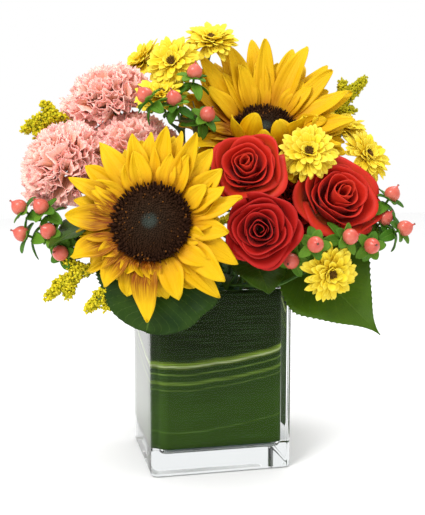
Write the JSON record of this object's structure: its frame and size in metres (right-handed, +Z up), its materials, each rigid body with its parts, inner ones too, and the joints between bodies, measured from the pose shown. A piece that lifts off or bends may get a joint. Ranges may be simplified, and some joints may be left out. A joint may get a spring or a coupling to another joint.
{
  "type": "flower arrangement in a vase",
  "caption": "Sunflowers with roses, carnations, spray chrysanthemums, berries, goldenrod and leaves in a rectangular clear glass vase lined with a leaf.",
  "frame": {"origin": "centre of the vase's flat underside", "axes": "+Z up out of the vase, -Y out of the vase's front face, which is the wider side and the side that the blooms face"},
  "size_m": [0.3085, 0.2132, 0.3613],
  "materials": {
    "glass": "clear polished",
    "liner_leaf": "satin leaf surface",
    "floral_foam": "matte, wet",
    "sunflower_petal": "satin",
    "sunflower_disc": "matte, rough",
    "stem": "satin",
    "rose_petal": "velvety matte",
    "carnation_petal": "matte",
    "chrysanthemum_petal": "satin",
    "berry": "glossy",
    "goldenrod": "matte",
    "leaf": "slightly glossy"
  },
  "bodies": {
    "root": {"berries_back": "berry", "berries_front": "berry", "berries_left": "berry", "berries_right": "berry", "berries_top": "berry", "carnation_back_petals": "carnation_petal", "carnation_back_stem": "stem", "carnation_left_petals": "carnation_petal", "carnation_left_stem": "stem", "carnation_middle_petals": "carnation_petal", "carnation_middle_stem": "stem", "carnation_top_petals": "carnation_petal", "carnation_top_stem": "stem", "foam_block": "floral_foam", "goldenrod_back": "goldenrod", "goldenrod_lower_left": "goldenrod", "goldenrod_rim_left": "goldenrod", "goldenrod_rim_middle": "goldenrod", "goldenrod_upper_left": "goldenrod", "goldenrod_upper_right": "goldenrod", "leaf_back": "leaf", "leaf_back_left": "leaf", "leaf_back_right": "leaf", "leaf_front_left": "leaf", "leaf_front_right": "leaf", "leaf_left": "leaf", "leaf_rim_front": "leaf", "leaf_rim_left": "leaf", "liner_leaf": "liner_leaf", "pom_back": "chrysanthemum_petal", "pom_centre": "chrysanthemum_petal", "pom_far_left": "chrysanthemum_petal", "pom_low_left": "chrysanthemum_petal", "pom_low_right": "chrysanthemum_petal", "pom_right": "chrysanthemum_petal", "pom_right_behind": "chrysanthemum_petal", "pom_spray_back": "stem", "pom_spray_low": "stem", "pom_spray_right": "stem", "pom_spray_top": "stem", "pom_top": "chrysanthemum_petal", "pom_upper_left": "chrysanthemum_petal", "rose_back_petals": "rose_petal", "rose_back_stem": "stem", "rose_inner_petals": "rose_petal", "rose_inner_stem": "stem", "rose_lower_petals": "rose_petal", "rose_lower_stem": "stem", "rose_right_petals": "rose_petal", "rose_right_stem": "stem", "rose_upper_petals": "rose_petal", "rose_upper_stem": "stem", "sunflower_back_disc": "sunflower_disc", "sunflower_back_petals": "sunflower_petal", "sunflower_back_stem": "stem", "sunflower_front_disc": "sunflower_disc", "sunflower_front_petals": "sunflower_petal", "sunflower_front_stem": "stem", "vase": "glass"}
  },
  "joints": []
}
